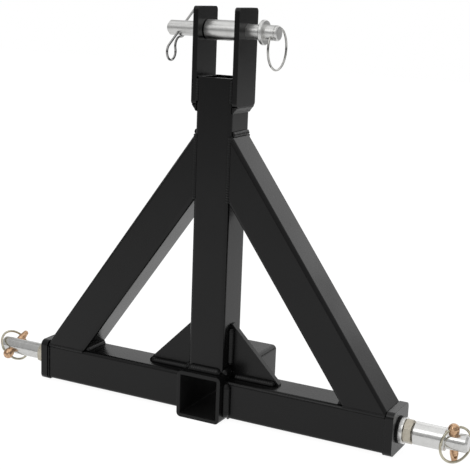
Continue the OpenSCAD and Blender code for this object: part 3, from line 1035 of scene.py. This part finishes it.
@dataclass
class WeldRuns:
    """The weld beads, remade from their solids with the crescents of a hand-laid weld.

    Attributes:
        nodes: the solids that hold the beads.
        merge_m: how close points lie that are one point, in metres.
        voxel: the size of the remade beads' faces.
        pitch: distance from one crescent to the next.
        height: depth of a crescent.
        bow: how strongly the crescents curve.
        lift: how far the whole skin is raised.
        wander: how unevenly the crescents follow each other, as a share of the pitch.
        first_seed: the seed of the first node's unevenness.
    """

    nodes: tuple[str, ...] = (
        "ear_welds",
        "brace_top_welds",
        "brace_foot_welds",
        "gusset_welds",
        "mast_foot_welds",
        "receiver_welds",
        "end_plate_welds",
    )
    merge_m: float = 2e-6
    voxel: float = 0.6
    pitch: float = 3.2
    height: float = 0.4
    bow: float = 55.0
    lift: float = 0.12
    wander: float = 0.8
    first_seed: int = 3

    def _islands(self, mesh: bpy.types.Mesh) -> list[bmesh.types.BMesh]:
        """Splits a mesh of loose triangles into its closed solids.

        Args:
            mesh: the solid's mesh.

        Returns:
            One merged shell for each solid.
        """
        whole = bmesh.new()
        whole.from_mesh(mesh)
        bmesh.ops.remove_doubles(whole, verts=whole.verts, dist=self.merge_m)
        whole.verts.ensure_lookup_table()
        seen: set[int] = set()
        shells = []
        for start in whole.verts:
            if start.index in seen:
                continue
            stack = [start]
            members = {start.index}
            while stack:
                here = stack.pop()
                for edge in here.link_edges:
                    other = edge.other_vert(here)
                    if other.index not in members:
                        members.add(other.index)
                        stack.append(other)
            seen |= members
            shell = whole.copy()
            shell.verts.ensure_lookup_table()
            spare = [vert for vert in shell.verts if vert.index not in members]
            bmesh.ops.delete(shell, geom=spare, context="VERTS")
            shells.append(shell)
        whole.free()
        return shells

    def _remade(self, shell: bmesh.types.BMesh, name: str) -> bpy.types.Mesh:
        """Gives a shell small even faces.

        Args:
            shell: the merged shell.
            name: a name for the mesh.

        Returns:
            The remade mesh.
        """
        mesh = bpy.data.meshes.new(name)
        shell.to_mesh(mesh)
        shell.free()
        holder = new_object(name, mesh)
        remesh = holder.modifiers.new("even", "REMESH")
        remesh.mode = "VOXEL"
        remesh.voxel_size = self.voxel * MM
        depsgraph = bpy.context.evaluated_depsgraph_get()
        result = bpy.data.meshes.new_from_object(holder.evaluated_get(depsgraph), depsgraph=depsgraph)
        bpy.data.objects.remove(holder)
        bpy.data.meshes.remove(mesh)
        return result

    @staticmethod
    def _measured(mesh: bpy.types.Mesh) -> tuple[np.ndarray, np.ndarray, np.ndarray]:
        """Measures the way along and across a bead at each of its points.

        Args:
            mesh: a remade bead.

        Returns:
            The points, the way along, and the way across.
        """
        points = np.zeros(len(mesh.vertices) * 3)
        mesh.vertices.foreach_get("co", points)
        points = points.reshape(-1, 3)
        low, high = points.min(0), points.max(0)
        axis = int(np.argmax(high - low))
        others = [other for other in range(3) if other != axis]
        first, second = (points - (low + high) / 2)[:, others].T
        return points, points[:, axis], (first - second) / math.sqrt(2.0)

    def _joined(self, beads: list[bpy.types.Mesh], name: str) -> bpy.types.Mesh:
        """Joins a node's beads into one mesh that keeps their measures.

        Args:
            beads: the remade beads, which are removed.
            name: a name for the mesh.

        Returns:
            The mesh, with the attributes run and across.
        """
        points, faces, run, across = [], [], [], []
        offset = 0
        for bead in beads:
            place, along, aside = self._measured(bead)
            points.append(place)
            run.append(along)
            across.append(aside)
            faces.extend([[index + offset for index in face.vertices] for face in bead.polygons])
            offset += len(place)
            bpy.data.meshes.remove(bead)
        mesh = bpy.data.meshes.new(name)
        mesh.from_pydata(np.vstack(points).tolist(), [], faces)
        for label, values in (("run", run), ("across", across)):
            store = mesh.attributes.new(label, "FLOAT", "POINT")
            store.data.foreach_set("value", np.concatenate(values).astype(np.float32))
        return mesh

    def build(self, rules: GeometryRules, finishes: Materials) -> None:
        """Builds one rippled piece for each weld node.

        Args:
            rules: the geometry trees.
            finishes: each finish's material.
        """
        for seed, node in enumerate(self.nodes, self.first_seed):
            shells = self._islands(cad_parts[node].data)
            beads = [self._remade(shell, f"{node}_bead_{index}") for index, shell in enumerate(shells)]
            piece = new_object(f"{node}_beads", self._joined(beads, f"{node}_beads"))
            sizes = {
                "Pitch": self.pitch * MM,
                "Height": self.height * MM,
                "Bow": self.bow,
                "Lift": self.lift * MM,
                "Wander": self.wander,
                "Seed": float(seed),
                "Material": finishes[WELD_COAT.name],
            }
            rules.apply(piece, rules.ripple, sizes)
            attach(piece, "frame")
            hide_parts(node)
            LOG.info("%s: %d beads, %d triangles", piece.name, len(shells), triangle_count(piece))


@dataclass(frozen=True)
class Lamp:
    """A soft square lamp.

    Attributes:
        name: the lamp's name.
        place: where it hangs, in metres.
        size: its width, in metres.
        power: its power, in watts.
        target: what it points at, in metres.
    """

    name: str
    place: tuple[float, float, float]
    size: float
    power: float
    target: tuple[float, float, float] = (0.0, 0.0, 0.25)

    def hang(self) -> None:
        """Hangs the lamp."""
        data = bpy.data.lights.new(self.name, "AREA")
        data.shape = "SQUARE"
        data.size = self.size
        data.energy = self.power
        lamp = new_object(self.name, data)
        lamp.visible_camera = False
        lamp.location = self.place
        ahead = Vector(self.target) - Vector(self.place)
        lamp.rotation_euler = ahead.to_track_quat("-Z", "Y").to_euler()


@dataclass
class Studio:
    """The camera, the floor and the light.

    Attributes:
        eye: the camera's place, in millimetres.
        azimuth: how far round to the right the camera stands, in degrees.
        elevation: how far it looks down, in degrees.
        roll: how far it is tilted, in degrees.
        focal_pixels: its focal length in pixels of the frame.
        frame_pixels: the frame's width in pixels.
        sensor: the sensor's width.
        clip_m: the nearest and the farthest distance that the camera sees, in metres.
        floor_half_m: half the floor's width, in metres.
        floor_paint: the floor's grey.
        floor_glow: strength of its glow.
        floor_seen: the glow's share where the camera looks at it.
        fade: where its mirrored glow starts and stops to fade, in metres, and the shares there.
        light_level: strength of the backdrop's light on the object.
        rise: where the mirrored backdrop brightens, as two heights and the levels there.
        fall: where it dims again above that.
        room: where it brightens from front to back.
        lamps: the lamps.
    """

    eye: tuple[float, float, float] = (670.93, -1266.9, 558.12)
    azimuth: float = 27.05
    elevation: float = 12.41
    roll: float = 2.15
    focal_pixels: float = 1129.61
    frame_pixels: float = 470.0
    sensor: float = 36.0
    clip_m: tuple[float, float] = (0.05, 60.0)
    floor_half_m: float = 6.0
    floor_paint: float = 0.72
    floor_glow: float = 1.19
    floor_seen: float = 0.8
    fade: Span = (0.8, 3.6, 0.62, 0.2)
    light_level: float = 0.5
    rise: Span = (0.08, 0.22, 0.18, 1.2)
    fall: Span = (0.28, 0.44, 1.2, 0.52)
    room: Span = (-0.30, 0.10, 0.52, 1.0)
    lamps: tuple[Lamp, ...] = (
        Lamp("top_lamp", (0.1, -0.1, 2.4), size=3.0, power=16.0),
        Lamp("back_lamp", (0.35, 2.3, 1.75), size=2.3, power=10.0),
        Lamp("front_lamp", (-0.5, -1.9, 2.0), size=1.2, power=8.0),
    )

    def camera(self) -> None:
        """Places the camera."""
        turn, dip, tilt = (math.radians(angle) for angle in (self.azimuth, self.elevation, self.roll))
        ahead = Vector((-math.sin(turn) * math.cos(dip), math.cos(turn) * math.cos(dip), -math.sin(dip)))
        level = Vector((math.cos(turn), math.sin(turn), 0.0))
        upright = level.cross(ahead)
        right = math.cos(tilt) * level + math.sin(tilt) * upright
        above = -math.sin(tilt) * level + math.cos(tilt) * upright
        data = bpy.data.cameras.new("camera")
        data.sensor_width = self.sensor
        data.lens = self.focal_pixels / self.frame_pixels * self.sensor
        data.clip_start, data.clip_end = self.clip_m
        camera = new_object("camera", data)
        columns = Matrix((right, above, -ahead)).transposed().to_4x4()
        camera.matrix_world = Matrix.Translation(Vector(self.eye) * MM) @ columns
        bpy.context.scene.camera = camera

    @staticmethod
    def _mirrored(path: bpy.types.Node, tree: Tree) -> Socket:
        """Gives 1 for rays that show the background in a mirror or through a clear surface."""
        return tree.math("MAXIMUM", path.outputs["Is Glossy Ray"], path.outputs["Is Transmission Ray"])

    def floor(self) -> None:
        """Lays a pale floor that keeps the shadow."""
        mesh = bpy.data.meshes.new("floor")
        far = self.floor_half_m
        corners = [(-far, -far, 0), (far, -far, 0), (far, far, 0), (-far, far, 0)]
        mesh.from_pydata(corners, [], [(0, 1, 2, 3)])
        floor = new_object("floor", mesh)
        material = bpy.data.materials.new("pale_floor")
        tree = fresh_tree(material)
        paint = tree.add("ShaderNodeBsdfDiffuse", {"Color": grey(self.floor_paint)}).outputs[0]
        glow = tree.add("ShaderNodeEmission", {"Strength": self.floor_glow}).outputs[0]
        path = tree.add("ShaderNodeLightPath")
        looked_at = tree.math("MULTIPLY", path.outputs["Is Camera Ray"], self.floor_seen)
        away = tree.add("ShaderNodeVectorMath", {0: tree.place()}, operation="LENGTH")
        fading = tree.ramp(away.outputs["Value"], self.fade)
        mirrored = tree.math("MULTIPLY", self._mirrored(path, tree), fading)
        share = tree.math("MAXIMUM", looked_at, mirrored)
        blend = tree.add("ShaderNodeMixShader", {0: share, 1: paint, 2: glow})
        tree.add("ShaderNodeOutputMaterial", {0: blend.outputs[0]})
        mesh.materials.append(material)

    def sky(self) -> None:
        """Sets a backdrop that is white to the camera, even to the light and graded in mirrors."""
        world = bpy.data.worlds.new("studio")
        bpy.context.scene.world = world
        tree = fresh_tree(world)
        path = tree.add("ShaderNodeLightPath")
        parts = tree.split(tree.add("ShaderNodeTexCoord").outputs["Generated"])
        rise = tree.ramp(parts["Z"], self.rise)
        fall = tree.ramp(parts["Z"], self.fall)
        room = tree.ramp(parts["Y"], self.room)
        graded = tree.math("MINIMUM", tree.math("MINIMUM", rise, fall), room)
        change = tree.math("SUBTRACT", graded, self.light_level)
        mirrored = tree.math("MULTIPLY", self._mirrored(path, tree), change)
        level = tree.math("ADD", mirrored, self.light_level)
        level = tree.math("MAXIMUM", level, path.outputs["Is Camera Ray"])
        light = tree.add("ShaderNodeBackground", {"Color": grey(1.0), "Strength": level})
        tree.add("ShaderNodeOutputWorld", {0: light.outputs[0]})

    def build(self) -> None:
        """Builds the whole studio."""
        bpy.context.scene.view_settings.view_transform = "Standard"
        self.camera()
        self.floor()
        self.sky()
        for lamp in self.lamps:
            lamp.hang()
        LOG.info("studio ready")


class SolidFrame:
    """The solids that keep their CAD shape and get a finish."""

    def dress(self, finishes: Materials) -> None:
        """Puts each node's finish on it.

        Args:
            finishes: each finish's material.
        """
        for node, finish in NODE_FINISHES.items():
            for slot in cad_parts[node].material_slots:
                slot.material = finishes[finish.name]
            LOG.info("%s: %s", node, finish.name)


def main() -> None:
    """Builds the studio and the dressed part."""
    logging.basicConfig(level=logging.INFO, format="%(name)s: %(message)s")
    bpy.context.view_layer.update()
    Studio().build()
    effects = Effects()
    finishes = {finish.name: finish.build(effects) for finish in FINISHES}
    rules = GeometryRules()
    SolidFrame().dress(finishes)
    WeldRuns().build(rules, finishes)
    LinchPins().build(rules, finishes)
    DrawPin().build(rules, finishes)


if __name__ == "__main__":
    main()
